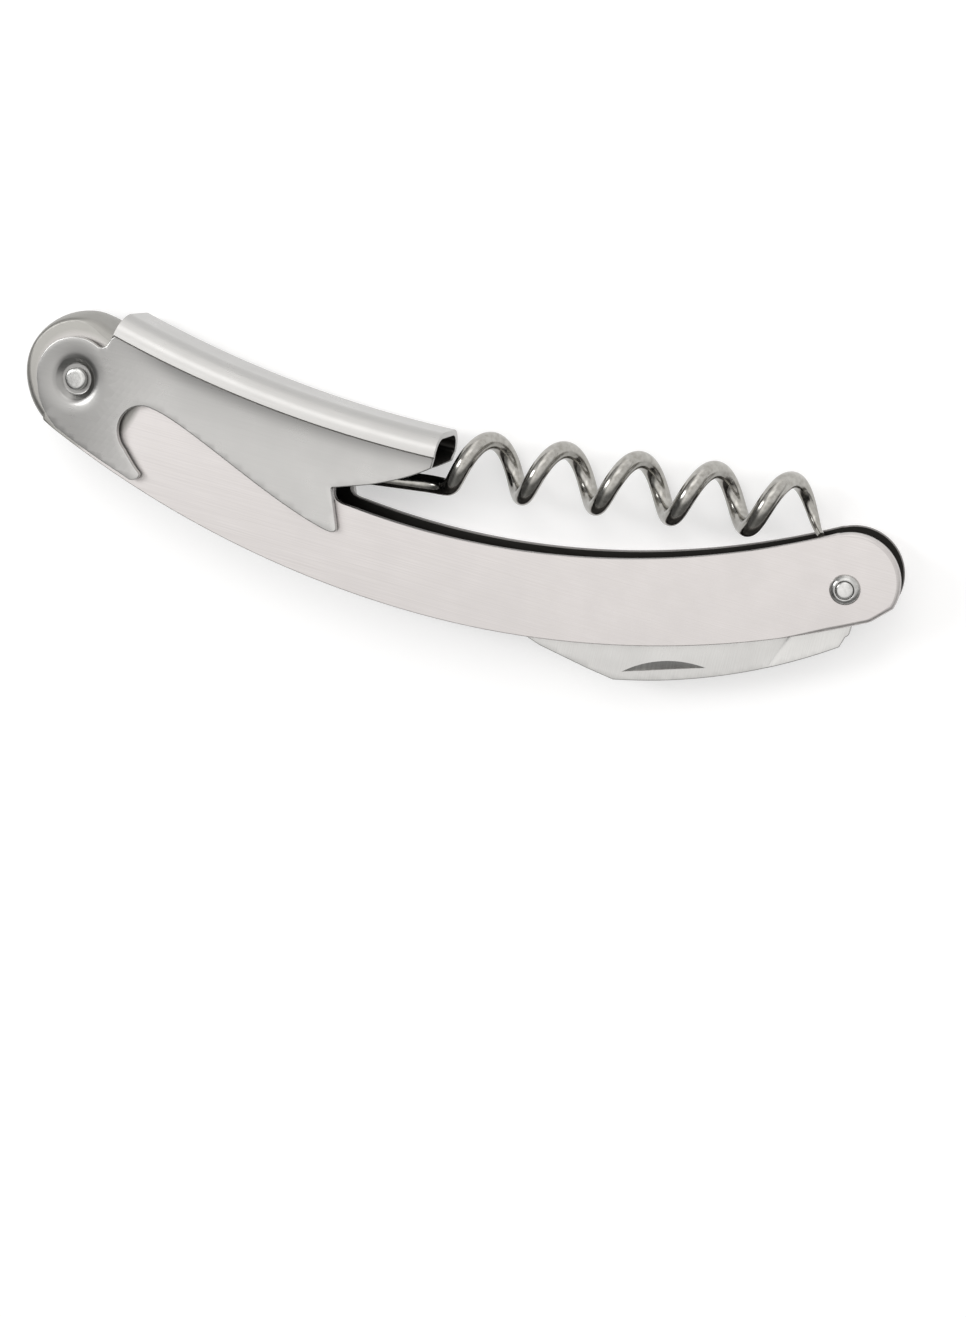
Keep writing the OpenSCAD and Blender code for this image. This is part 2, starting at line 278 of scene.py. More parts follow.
def quarter(p, normal, z, r, side):
    """Points round an edge of radius r: from the face at height z to the rim. side is +1 on top."""
    line = []
    for k in range(ROUND_STEPS + 1):
        a = math.pi / 2 * k / ROUND_STEPS
        place = p + normal * r * (1 - math.sin(a))
        line.append(up(place, z - side * r * (1 - math.cos(a))))
    return line


def plate(skin, loops, inside, top, bottom, edge, rim_shade, holes_in_top=()):
    """A closed plate with rounded rims. The first loop is the outside, the others are holes."""
    rims = []
    for loop in loops:
        normals = inward(loop)
        rims.append((loop, normals, [p + n * edge for p, n in zip(loop, normals)]))
    face_over(skin, [rim[2] for rim in rims] + list(holes_in_top), inside, top)
    face_over(skin, [rim[2] for rim in rims], inside, bottom)
    # Painted shade on the rounded rims.
    skin.tone = rim_shade
    for loop, normals, inset in rims:
        columns = []
        for p, n, q in zip(loop, normals, inset):
            upper = quarter(p, n, top(q), edge, 1)
            lower = quarter(p, n, bottom(q), edge, -1)
            columns.append(upper + lower[::-1])
        for a, b in zip(columns, columns[1:] + columns[:1]):
            skin.strip(a, b)


def piece(name, skin, body, slot, material, *nodes, sharp=50):
    """Turns a skin into a finished piece that stands for CAD nodes and rides on their body."""
    mesh = bpy.data.meshes.new(name)
    mesh.from_pydata(skin.points, [], skin.faces)
    work = bmesh.new()
    work.from_mesh(mesh)
    bmesh.ops.recalc_face_normals(work, faces=work.faces)
    open_edges = sum(1 for e in work.edges if len(e.link_faces) != 2)
    if open_edges:
        print(f"note: {name} has {open_edges} open or crossed edges")
    work.to_mesh(mesh)
    work.free()
    mesh.attributes.new("shade_and_grind_tone", "FLOAT", "FACE").data.foreach_set("value", skin.tones)
    mesh.transform(DRAWING)
    mesh.shade_smooth()
    mesh.set_sharp_from_angle(angle=math.radians(sharp))
    obj = bpy.data.objects.new(name, mesh)
    bpy.context.scene.collection.objects.link(obj)
    mesh.materials.append(material)
    weighted = obj.modifiers.new("even_faces", "WEIGHTED_NORMAL")
    weighted.keep_sharp = True
    weighted.mode = "FACE_AREA"
    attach(obj, body)
    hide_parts(*nodes)


def circle_hole(centre, radius, count=48):
    """A hole's loop: it runs clockwise, so its inward side is the material."""
    return arc(centre, radius, 360, 360 / count, count - 1)


def near_rim(loops):
    """A test that tells whether a place is closer to one of the loops than a distance."""
    rim = [p for loop in loops for p in loop]
    tree = KDTree(len(rim))
    for k, p in enumerate(rim):
        tree.insert((p.x, p.y, 0), k)
    tree.balance()
    return lambda p, distance: tree.find((p.x, p.y, 0))[2] < distance


ROW_STEP = 0.866


def grid(low, high, step):
    """Points of a staggered grid."""
    points = []
    rows = int((high[1] - low[1]) / (step * ROW_STEP))
    columns = int((high[0] - low[0]) / step)
    for row in range(rows):
        for column in range(columns):
            x = low[0] + step * (column + 0.5 * (row % 2))
            points.append(Vector((x, low[1] + ROW_STEP * step * row)))
    return points


# ---- materials ----


def node(tree, kind, **settings):
    made = tree.nodes.new(kind)
    for name, value in settings.items():
        setattr(made, name, value)
    return made


def stretched_noise(tree, coordinates, scale, detail=3.0):
    """Noise with its own scale along each axis, in cells per metre."""
    mapping = node(tree, "ShaderNodeMapping")
    mapping.inputs["Scale"].default_value = scale
    noise = node(tree, "ShaderNodeTexNoise")
    noise.inputs["Scale"].default_value = 1.0
    noise.inputs["Detail"].default_value = detail
    tree.links.new(coordinates, mapping.inputs["Vector"])
    tree.links.new(mapping.outputs["Vector"], noise.inputs["Vector"])
    return noise.outputs["Fac"]


def ranged(tree, value, low, high, start=0.3, stop=0.7):
    """The value, spread from low to high."""
    spread = node(tree, "ShaderNodeMapRange")
    spread.inputs["From Min"].default_value = start
    spread.inputs["From Max"].default_value = stop
    spread.inputs["To Min"].default_value = low
    spread.inputs["To Max"].default_value = high
    tree.links.new(value, spread.inputs["Value"])
    return spread.outputs["Result"]


def mixed(tree, factor, a, b):
    """Colour a where the factor is 0 and b where it is 1. Each is a colour or a socket."""
    mix = node(tree, "ShaderNodeMix", data_type="RGBA")
    tree.links.new(factor, mix.inputs["Factor"])
    for value, socket in ((a, mix.inputs[6]), (b, mix.inputs[7])):
        if isinstance(value, bpy.types.NodeSocket):
            tree.links.new(value, socket)
        else:
            socket.default_value = (*value, 1)
    return mix.outputs[2]


# How far each kind of surface is mixed towards near-black: painted shade, save GROUND_TONE, the ground
# blade's own darker finish.
SHADE_AND_GRIND_DARK = (0.045, 0.043, 0.04)
INSIDE_SHADE = 1.0
CUT_FACE_SHADE = 0.7
ROUND_EDGE_SHADE = 0.22
WEB_SHADE = 0.22
BLADE_RIM_SHADE = 0.35
GROUND_TONE = 0.13
BACK_TOP_SHADE = 0.16
DISH_SHADE = 0.42
EAR_SHADE = 0.38
EAR_SHADE_FROM = 0.0
EAR_SHADE_FADE = 16.0

# Painted shade on the nose, a shell round the lever pivot: where it starts, is full, begins to fade and
# stops.
NOSE_SHADE_STEEL = (0.30, 0.30, 0.275)
NOSE_SHADE_RANGE = [MM * r for r in (6.2, 7.8, 9.8, 10.6)]
NOSE_SHADE_SHARE = 0.75


def painted_nose_shade(tree, where, colour):
    """Painted shade on the pressed nose: a shell round the lever pivot."""
    reach = node(tree, "ShaderNodeVectorMath", operation="DISTANCE")
    tree.links.new(where, reach.inputs[0])
    reach.inputs[1].default_value = ORIGIN
    start, full, fading, stop = NOSE_SHADE_RANGE
    rise = ranged(tree, reach.outputs["Value"], 0.0, 1.0, start, full)
    fall = ranged(tree, reach.outputs["Value"], NOSE_SHADE_SHARE, 0.0, fading, stop)
    share = node(tree, "ShaderNodeMath", operation="MULTIPLY")
    tree.links.new(rise, share.inputs[0])
    tree.links.new(fall, share.inputs[1])
    return mixed(tree, share.outputs[0], colour, NOSE_SHADE_STEEL)


BLOTCH = 260.0
BLOTCH_SHADE = 0.93
BLOTCH_SHARE = 0.35


def steel(name, dark, light, rough, grain, bump=0.004, nose=False):
    """Steel with a directed grain. grain is in cells per metre along X, Y and Z, bump in mm."""
    material = bpy.data.materials.new(name)
    material.use_nodes = True
    tree = material.node_tree
    shader = tree.nodes["Principled BSDF"]
    where = node(tree, "ShaderNodeTexCoord").outputs["Object"]
    fine = stretched_noise(tree, where, grain)
    broad = stretched_noise(tree, where, (BLOTCH, BLOTCH, BLOTCH), 2.0)
    colour = mixed(tree, ranged(tree, fine, 0.0, 1.0), dark, light)
    shade = tuple(c * BLOTCH_SHADE for c in light)
    colour = mixed(tree, ranged(tree, broad, 0.0, BLOTCH_SHARE), colour, shade)
    # Painted shade on the nose round the lever pivot.
    if nose:
        colour = painted_nose_shade(tree, where, colour)
    # Painted shade, and the ground blade's darker finish, mixed in face by face.
    shade_and_grind = node(tree, "ShaderNodeAttribute", attribute_name="shade_and_grind_tone").outputs["Fac"]
    colour = mixed(tree, shade_and_grind, colour, SHADE_AND_GRIND_DARK)
    roughness = node(tree, "ShaderNodeMath", operation="ADD")
    tree.links.new(ranged(tree, fine, rough[0], rough[1]), roughness.inputs[0])
    tree.links.new(ranged(tree, broad, -0.02, 0.03), roughness.inputs[1])
    lift = node(tree, "ShaderNodeBump")
    lift.inputs["Strength"].default_value = 1.0
    lift.inputs["Distance"].default_value = bump * MM
    tree.links.new(fine, lift.inputs["Height"])
    tree.links.new(colour, shader.inputs["Base Color"])
    tree.links.new(roughness.outputs[0], shader.inputs["Roughness"])
    tree.links.new(lift.outputs["Normal"], shader.inputs["Normal"])
    shader.inputs["Metallic"].default_value = 1.0
    return material


BRUSHED_X = (90.0, 7000.0, 7000.0)
FINE_BRUSHED_X = (150.0, 5000.0, 5000.0)
BRUSHED_Y = (7000.0, 250.0, 300.0)
SPECKLED = (2500.0, 2500.0, 2500.0)
WAVY = (1400.0, 1400.0, 1400.0)

# The handle's steel has painted shade on its nose.
handle_steel = steel(
    "handle_brushed_steel", (0.64, 0.61, 0.60), (0.74, 0.71, 0.70), (0.38, 0.5), BRUSHED_X, nose=True
)
lever_steel = steel(
    "lever_satin_steel", (0.515, 0.51, 0.50), (0.54, 0.535, 0.525), (0.28, 0.31), FINE_BRUSHED_X, bump=0.0003
)
worm_steel = steel(
    "worm_polished_steel", (0.30, 0.29, 0.265), (0.46, 0.45, 0.425), (0.12, 0.22), WAVY, bump=0.01
)
blade_steel = steel("blade_ground_steel", (0.58, 0.575, 0.565), (0.72, 0.715, 0.70), (0.28, 0.4), BRUSHED_Y)
rivet_steel = steel("rivet_bright_steel", (0.50, 0.50, 0.49), (0.62, 0.62, 0.61), (0.16, 0.26), SPECKLED)
burr_steel = steel("burr_steel", (0.40, 0.40, 0.39), (0.55, 0.55, 0.54), (0.2, 0.32), SPECKLED)
pin_steel = steel("pin_steel", (0.5, 0.5, 0.5), (0.62, 0.62, 0.62), (0.25, 0.35), SPECKLED)
washer_steel = steel("washer_steel", (0.34, 0.34, 0.34), (0.45, 0.45, 0.45), (0.35, 0.5), SPECKLED)
# Painted shade: the spring is near-black to stand for the dark gap it sits in.
spring_shade_steel = steel("spring_painted_shade_steel", (0.07, 0.068, 0.065), (0.13, 0.125, 0.12), (0.4, 0.55), BRUSHED_X)
spacer_steel = steel("spacer_steel", (0.3, 0.29, 0.27), (0.42, 0.41, 0.38), (0.3, 0.45), SPECKLED)

# ---- handle: two side walls and the web that is folded round the nose ----

FOLD_R = 1.4
NOSE_FOLD_R = 0.45
CROWN_END_X = 3.8
CROWN_FADE = 5.0
CROWN_LOW = 0.65
WEB_STEPS = 8
RIM_R = 0.13
TAIL_RIM_R = 0.55
TAIL_RIM_FADE = 7.0
TAIL_RIM_FROM = SPAN - TAIL_RIM_FADE
FOLD_FADE = 1.5
RIM_FADE = 2.5
FOLD_LINE_R = BACK_C.length - NOSE_R
NOSE_STOP = 234.0
FOLD_END_X = 30.0
BELLY_START_X = -4.3
TAIL_ARC = (-17, 116)
TAIL_JOIN_X = TAIL_C.x - 3.1
STEP_FOOT_X = STEP_X + 2.4
STEP_SHOULDER_X = STEP_X - 3.2
RIM_STEP = 0.5


def handle_outline():
    """The outline, counter-clockwise: its free stretch, and the stretch with the folded web."""
    front_c = BELLY_LOW + Vector((0, BELLY_FRONT_R))
    back_belly_c = BELLY_LOW + Vector((0, BELLY_BACK_R))
    tangent = math.degrees(math.atan2(BACK_C.y, BACK_C.x))
    foot_angle = low_angle(HOLLOW_C, HOLLOW_R, STEP_FOOT_X)
    foot = arc(HOLLOW_C, HOLLOW_R, foot_angle, foot_angle, 1)[0]
    shoulder_angle = low_angle(BACK_C, FOLD_LINE_R, STEP_SHOULDER_X)
    shoulder = arc(BACK_C, FOLD_LINE_R, shoulder_angle, shoulder_angle, 1)[0]
    fold_angle = low_angle(BACK_C, FOLD_LINE_R, FOLD_END_X)
    free = arc(front_c, BELLY_FRONT_R, low_angle(front_c, BELLY_FRONT_R, BELLY_START_X), -90, 120)
    tail_angle = low_angle(back_belly_c, BELLY_BACK_R, TAIL_CORNER_X)
    free += arc(back_belly_c, BELLY_BACK_R, -89.8, tail_angle, 120)
    tail_corner = free[-1]
    rounding = ((0.1, 0.05), (0.6, 0.3), (0.8, 0.4), (1.3, 0.95))
    free += curve(*[tail_corner + Vector(shift) for shift in rounding], 4)
    free += arc(TAIL_C, TAIL_R, *TAIL_ARC, 44)
    free += arc(HOLLOW_C, HOLLOW_R, low_angle(HOLLOW_C, HOLLOW_R, TAIL_JOIN_X), foot_angle, 130)
    run_out = foot + Vector((-1.6, 0))
    free += curve(foot + Vector((-0.2, 0)), run_out, (STEP_X, foot.y + 0.4), (STEP_X, foot.y + 1.8), 8)
    free += curve((STEP_X, -2), (STEP_X, shoulder.y - 0.6), shoulder + Vector((1.6, 0)), shoulder, 8)
    free += arc(BACK_C, FOLD_LINE_R, shoulder_angle - 0.1, fold_angle, 10)
    folded = arc(BACK_C, FOLD_LINE_R, fold_angle, tangent - 180, 60)
    folded += arc((0, 0), NOSE_R, tangent + 1, NOSE_STOP, 60)
    return free, folded


def handle_body():
    skin = Skin()
    free, folded = handle_outline()
    free = spaced([folded[-1], *free, folded[0]], RIM_STEP, closed=False)[1:-1]
    loop = free + folded
    normals = inward(loop)
    first = len(free)
    last = len(loop) - 1

    def along(k):
        """How far point k is inside the folded run (negative outside), in millimetres."""
        if k >= first:
            return min((loop[k] - loop[first]).length, (loop[k] - loop[last]).length)
        return -min((loop[k] - loop[first]).length, (loop[k] - loop[last]).length)

    def crown(k):
        """Height of the nose's bulge: full on top, less in front, and fading out along the back."""
        if k < first:
            return 0.0
        front = smooth(0.5 - loop[k].y / NOSE_R) if loop[k].x < 0 else 0.0
        return NOSE_CROWN * smooth((CROWN_END_X - loop[k].x) / CROWN_FADE) * (1 - CROWN_LOW * front)

    def edge_radius(k):
        """Radius of the outer edge: a wide fold on the back, a tight one round the nose."""
        way = along(k)
        if way >= 0:
            fold = FOLD_R + (NOSE_FOLD_R - FOLD_R) * crown(k) / NOSE_CROWN
            return fold if fold < SHEET else SHEET + (fold - SHEET) * smooth(way / FOLD_FADE)
        if loop[k].x > TAIL_RIM_FROM:
            return RIM_R + (TAIL_RIM_R - RIM_R) * smooth((loop[k].x - TAIL_RIM_FROM) / TAIL_RIM_FADE)
        near_nose = (loop[k] - loop[last]).length < (loop[k] - loop[first]).length
        return RIM_R + ((NOSE_FOLD_R if near_nose else SHEET) - RIM_R) * smooth(1 + way / RIM_FADE)

    radii = [edge_radius(k) for k in range(len(loop))]
    inner_r = [RIM_R * smooth(-along(k) / FOLD_FADE) for k in range(len(loop))]
    outer_loop = [p + n * r for p, n, r in zip(loop, normals, radii)]
    rivets = [((0, 0), LEVER_RIVET_R), (KNIFE_PIVOT, KNIFE_RIVET_R), (WORM_PIVOT, WORM_PIN_R)]
    rivets += [(place, SPRING_PIN_R) for place in SPRING_PINS]
    holes = [circle_hole(c, r) for c, r in rivets]
    face_over(skin, [outer_loop, *holes], [], lambda p: WALL_OUT)
    for hole in holes:
        for a, b in zip(hole, hole[1:] + hole[:1]):
            skin.face((up(a, WALL_OUT), up(b, WALL_OUT), up(b, WALL_IN), up(a, WALL_IN)))

    def outer_column(k):
        return quarter(loop[k], normals[k], WALL_OUT, radii[k], 1)

    def free_column(k):
        lower = quarter(loop[k], normals[k], WALL_IN, inner_r[k], -1)
        return outer_column(k) + lower[::-1]

    def bulged(point, k):
        """A point of the web, pushed out by the crown at its height."""
        return point - up(normals[k], 0) * crown(k) * (1 - (point.z / WALL_OUT) ** 2)

    def web_columns(k):
        """Section through the web, outside and inside, from the wall to the middle plane."""
        bend = max(radii[k] - SHEET, 0.0)
        floor_z = WALL_IN - bend
        outside = outer_column(k)
        inside = []
        for n in range(ROUND_STEPS + 1):
            a = math.pi / 2 * n / ROUND_STEPS
            place = loop[k] + normals[k] * (SHEET + bend * (1 - math.sin(a)))
            inside.append(up(place, floor_z + bend * math.cos(a)))
        for n in range(1, WEB_STEPS + 1):
            outside.append(up(loop[k], (WALL_OUT - radii[k]) * (1 - n / WEB_STEPS)))
            inside.append(up(loop[k] + normals[k] * SHEET, floor_z * (1 - n / WEB_STEPS)))
        return [bulged(p, k) for p in outside], [bulged(p, k) for p in inside]

    def rim(k, after):
        """The free rim between two points: its rounded outer edge gets less painted shade than the cut face.
        """
        a, b = free_column(k), free_column(after)
        skin.tone = ROUND_EDGE_SHADE
        skin.strip(a[: ROUND_STEPS + 1], b[: ROUND_STEPS + 1])
        skin.tone = CUT_FACE_SHADE
        skin.strip(a[ROUND_STEPS:], b[ROUND_STEPS:])

    def cut_end(k):
        """Closes the cut end of the web against the free edge of the wall."""
        outside, inside = web_columns(k)
        free_edge = free_column(k)
        shared = sum(1 for a, b in zip(outside, free_edge) if (a - b).length < 1e-6) - 1
        skin.face(outside[shared:] + inside[::-1] + free_edge[:shared:-1])

    inner_loop = []
    for k, (p, n) in enumerate(zip(loop, normals)):
        web = web_columns(k)[1][0].xy if k >= first else p + n * inner_r[k]
        inner_loop += {first: [p, web], last: [web, p]}.get(k, [web])
    for k in range(len(loop)):
        after = (k + 1) % len(loop)
        if first <= k < last:
            # Painted shade on the folded web.
            skin.tone = WEB_SHADE
            skin.strip(web_columns(k)[0], web_columns(after)[0])
        else:
            rim(k, after)
    # The cut ends keep the painted shade of the cut faces.
    cut_end(first)
    cut_end(last)
    # Painted shade: the inside faces of the channel are made near-black.
    skin.tone = INSIDE_SHADE
    face_over(skin, [inner_loop, *holes], [], lambda p: WALL_IN)
    for k in range(first, last):
        skin.strip(web_columns(k)[1], web_columns(k + 1)[1])
    skin.mirrored()
    return skin


piece("handle_folded_channel", handle_body(), "handle", "handle_sheet", handle_steel, "handle_channel")

# ---- lever: two cheeks and the rounded back that joins them ----

BACK_START = -103.4
BACK_STOP = -87.76
CHEEK_RIM = 0.15
LEAN = 0.34
LEAN_FROM = 2.0
LEAN_FADE = 14.0
FLARE_WIDTH = 6.0
FLARE_SHARE = 0.65
LIP_WIDTH = 2.0
DISH_R = 3.0
DISH_FLOOR_R = 2.1
DISH_DEPTH = 0.9
SOFT_R = 5.6
DISH_THIN = 0.45
SOFT_DEPTH = 0.17
BELLY_GAP = 0.85
EAR_R = 5.7
CREASE_WIDTH = 0.36
CREASE_DEPTH = 0.3
LEVER_HOLE_R = LEVER_RIVET_R + PIVOT_GAP
BEND_STEPS = 14
BACK_SHADE_FROM = 5
BACK_SHADE_STEPS = 8
DISH_RINGS = [1.5 + 0.12 * n for n in range(13)] + [1.4 + 0.17 * n for n in range(13, 22)]
FLARE_ROWS = (0.25, 0.5, 0.8, 1.1, 1.5, 1.9, 2.4, 2.9)


def crease_distance(p):
    """How far a point of the cheek lies below the crease."""
    return (p - BACK_C).length - CREASE_R


def cheek_top(p):
    """Outer height of a cheek: it leans in from the ears, flares at the crease, and is dished."""
    r = p.length
    below = max(0.0, crease_distance(p))
    flare = FLARE_SHARE * max(0.0, 1 - below / FLARE_WIDTH) ** 2
    flare += (1 - FLARE_SHARE) * max(0.0, 1 - below / LIP_WIDTH) ** 2
    height = CHEEK_OUT - PLAY - LEAN * smooth((p.x - LEAN_FROM) / LEAN_FADE) * (1 - flare)
    height -= SOFT_DEPTH * (1 - smooth((r - 0.8 * DISH_R) / (SOFT_R - 0.8 * DISH_R))) ** 2
    height -= (DISH_DEPTH - SOFT_DEPTH) * min(1.0, max(0.0, (DISH_R - r) / (DISH_R - DISH_FLOOR_R)))
    return height


def cheek_bottom(p):
    """Inner height of a cheek. The pressed dish is thinner than the sheet."""
    thin = DISH_THIN * (1 - smooth((p.length - DISH_R) / 1.2))
    return cheek_top(p) - LEVER_SHEET + thin


def cheek_shade(corners):
    """Painted shade: darker in the dish, and on the ear, where it fades out along the cheek."""
    if all(p.length < DISH_R + 0.05 for p in corners):
        return DISH_SHADE
    return EAR_SHADE * (1 - smooth((corners[0].x - EAR_SHADE_FROM) / EAR_SHADE_FADE))


def cheek_outline():
    """Counter-clockwise: the crease from right to left, then the rest of the cheek."""
    belly_c = BELLY_LOW + Vector((0, BELLY_FRONT_R))
    belly_r = BELLY_FRONT_R - BELLY_GAP
    crease = arc(BACK_C, CREASE_R, BACK_STOP, BACK_START, 110)
    # The neck beside the crease, and the round ear.
    rest = [Vector((3.75, 5.5)), Vector((3.2, 5.15))]
    rest += arc((0, 0), EAR_R, 63, 202, 60)
    # Down to the belly and along it to the hook's point.
    rest += curve((-5.1, -2.8), (-4.7, -4.1), (-3.9, -5.2), (-2.5, -6.5), 10)
    rest += arc(belly_c, belly_r, low_angle(belly_c, belly_r, -1.6), low_angle(belly_c, belly_r, 9.6), 10)
    rest += curve((10.2, -11.45), (11, -11.55), (12.1, -10.7), (11.3, -10.1), 8)
    # The hook's notch, and the long edge to the tooth.
    rest += curve((11, -9.9), (10.2, -9.2), (9.6, -8.5), (9, -7.9), 6)
    rest += arc(HOOK_C, HOOK_R, 234, 76, 32)
    rest += curve((12.4, -1.3), (18.5, -2.6), (30.5, -9), (39.1, -10.75), 40)
    # The tooth, and the lip seat behind it.
    rest += curve((39.6, -10.8), (40.4, -10.8), (40.7, -10.5), (40.4, -9.8), 6)
    rest += curve((38.8, -5.4), (38.65, -4.95), (38.8, -4.9), (39.1, -4.85), 6)
    rest += curve((41.5, -4), (44.5, -3.1), (49, -1), (51.5, 1.1), 20)
    return crease, rest


def cheek_points(near):
    """Loose points of a cheek: rings round the dish, rows along the crease, a grid between."""
    points = []
    for r in DISH_RINGS:
        points += [p for p in arc((0, 0), r, 0, 355, 71) if not near(p, 0.25)]
    for depth in FLARE_ROWS:
        row = arc(BACK_C, CREASE_R + depth, BACK_STOP - 0.1, BACK_START + 0.1, 100)
        points += [p for p in row if p.length > SOFT_R + 0.2 and not near(p, 0.2)]
    for p in grid((-6, -12), (52, 6), 0.9):
        plain = p.length > SOFT_R + 0.2 and crease_distance(p) > FLARE_WIDTH / 2 + 0.3
        if plain and not near(p, 0.4):
            points.append(p)
    return points


def lever_body():
    skin = Skin()
    crease, rest = cheek_outline()
    rest = spaced([crease[-1], *rest, crease[0]], RIM_STEP, closed=False)[1:-1]
    loop = crease + rest
    last = len(crease) - 1
    normals = inward(loop)
    rim_r = []
    for k, p in enumerate(loop):
        ends = min((p - crease[0]).length, (p - crease[-1]).length)
        rim_r.append(0.0 if k <= last else CHEEK_RIM * smooth(ends / 0.8))
    hole = circle_hole((0, 0), LEVER_HOLE_R, 64)
    face_loop = [p + n * r for p, n, r in zip(loop, normals, rim_r)]
    inside = cheek_points(near_rim([loop, hole]))
    face_over(skin, [face_loop, hole], inside, cheek_top)
    # Painted shade in the dish and on the ear.
    skin.tones = [cheek_shade([Vector(skin.points[n][:2]) for n in face]) for face in skin.faces]
    bore_top = [up(p, cheek_top(p)) for p in hole + hole[:1]]
    bore_bottom = [up(p, cheek_bottom(p)) for p in hole + hole[:1]]
    skin.strip(bore_top, bore_bottom)

    def free_column(k):
        p, n, r = loop[k], normals[k], rim_r[k]
        q = face_loop[k]
        upper = quarter(p, n, cheek_top(q), r, 1)
        lower = quarter(p, n, cheek_bottom(q), r, -1)
        return upper + lower[::-1]

    def back_columns(k):
        """Section through the rounded back at a point of the crease, outside and inside."""
        p = loop[k]
        rise = (BACK_C - p).normalized()
        groove = up(p + rise * CREASE_WIDTH / 2, CHEEK_OUT - CREASE_DEPTH)
        outside = [up(p, cheek_top(p)), groove]
        inside = [up(p, cheek_bottom(p)), up(p + rise * 0.1, CHEEK_OUT - LEVER_SHEET - 0.05)]
        square = CHEEK_OUT - BACK_ROUND
        inner = BACK_ROUND - LEVER_SHEET
        bend_from = BACK_H - BACK_ROUND
        for n in range(BEND_STEPS + 1):
            a = math.pi / 2 * n / BEND_STEPS
            for section, r in ((outside, BACK_ROUND), (inside, inner)):
                section.append(up(p + rise * (bend_from + r * math.sin(a)), square + r * math.cos(a)))
        outside += [up(p + rise * BACK_H, square / 2), up(p + rise * BACK_H, 0)]
        top_in = BACK_H - LEVER_SHEET
        inside += [up(p + rise * top_in, square / 2), up(p + rise * top_in, 0)]
        return outside, inside

    for k in range(len(loop)):
        after = (k + 1) % len(loop)
        if k < last:
            here, there = back_columns(k)[0], back_columns(after)[0]
            for n in range(len(here) - 1):
                # Painted shade, growing over the upper part of the rounded back.
                skin.tone = BACK_TOP_SHADE * smooth((n - BACK_SHADE_FROM) / BACK_SHADE_STEPS)
                skin.strip(here[n : n + 2], there[n : n + 2])
        else:
            skin.tone = 0.0
            skin.strip(free_column(k), free_column(after))
    for k in (0, last):
        skin.strip(*back_columns(k))
    # Painted shade: the inside of the lever is made near-black.
    skin.tone = INSIDE_SHADE
    face_over(skin, [face_loop, hole], inside, cheek_bottom)
    for k in range(last):
        skin.strip(back_columns(k)[1], back_columns(k + 1)[1])
    skin.mirrored()
    return skin


piece("lever_pressed_sheet", lever_body(), "lever", "lever_sheet", lever_steel, "lever", sharp=40)

# ---- worm: wire eye, straight shank and helix with a ground tip ----

COIL_R = 3.375
PITCH = 9.95
TURNS = 4.97
WORM_SLOPE = 7.5
EYE_R = WORM_PIN_R + PIVOT_GAP + WIRE_R
HELIX_FROM = 18.45
JOIN_TURN = 0.12
SHANK_END = 15.05
BEND_REACH = 2.8
TIP_TURNS = 0.55
TIP_BASE = 0.1
TIP_BLUNT = 0.42
WIRE_SIDES = 32
RINGS_PER_TURN = 60


def helix(turn):
    """Wire centre after a number of turns, starting at the lowest point of the coil."""
    a = 2 * math.pi * turn
    return Vector((HELIX_FROM + PITCH * turn, COIL_R - EYE_R - COIL_R * math.cos(a), COIL_R * math.sin(a)))


def worm_path():
    """Wire centre line and the wire's radius along it: the tip is ground down, with a blunt end."""
    way = (helix(JOIN_TURN + 0.001) - helix(JOIN_TURN - 0.001)).normalized()
    eye = [up(p, 0) for p in arc((0, 0), EYE_R, 0, 270, 54)]
    shank = [Vector((SHANK_END * k / 20, -EYE_R, 0)) for k in range(1, 21)]
    joint = helix(JOIN_TURN)
    bend_corner = Vector((SHANK_END + BEND_REACH, -EYE_R, 0))
    bend = curve(shank[-1], bend_corner, joint - 2 * way, joint, 20)
    rings = round((TURNS - JOIN_TURN) * RINGS_PER_TURN)
    coil = [helix(JOIN_TURN + (TURNS - JOIN_TURN) * k / rings) for k in range(1, rings + 1)]
    path = eye + shank + bend[1:] + coil
    radii = []
    for k in range(len(path)):
        left = (len(path) - 1 - k) / RINGS_PER_TURN
        ground = TIP_BASE + (1 - TIP_BASE) * math.sqrt(min(1.0, left / TIP_TURNS))
        radii.append(WIRE_R * max(TIP_BLUNT, ground))
    return path, radii


def swept(skin, path, radii, sides):
    """A round bar along a path, with flat ends."""
    across = Vector((0, 0, 1))
    rings = []
    for k, p in enumerate(path):
        way = (path[min(k + 1, len(path) - 1)] - path[max(k - 1, 0)]).normalized()
        across = (across - way * across.dot(way)).normalized()
        other = way.cross(across)
        ring = []
        for n in range(sides + 1):
            a = 2 * math.pi * (n % sides) / sides
            ring.append(p + radii[k] * (across * math.cos(a) + other * math.sin(a)))
        rings.append(ring)
    for a, b in zip(rings, rings[1:]):
        skin.strip(a, b)
    skin.face(rings[0][:-1])
    skin.face(rings[-1][:-1])


def turned(skin, centre, angle):
    """Moves a finished skin from a part's own place into the drawing."""
    turn = Matrix.Rotation(math.radians(angle), 4, "Z")
    skin.points = [tuple(turn @ Vector(p) + Vector((centre.x, centre.y, 0))) for p in skin.points]
    return skin


def worm_body():
    skin = Skin()
    path, radii = worm_path()
    swept(skin, path, radii, WIRE_SIDES)
    return turned(skin, WORM_PIVOT, WORM_SLOPE)


piece("worm_wire", worm_body(), "worm", "worm_wire", worm_steel, "worm")

# ---- knife ----

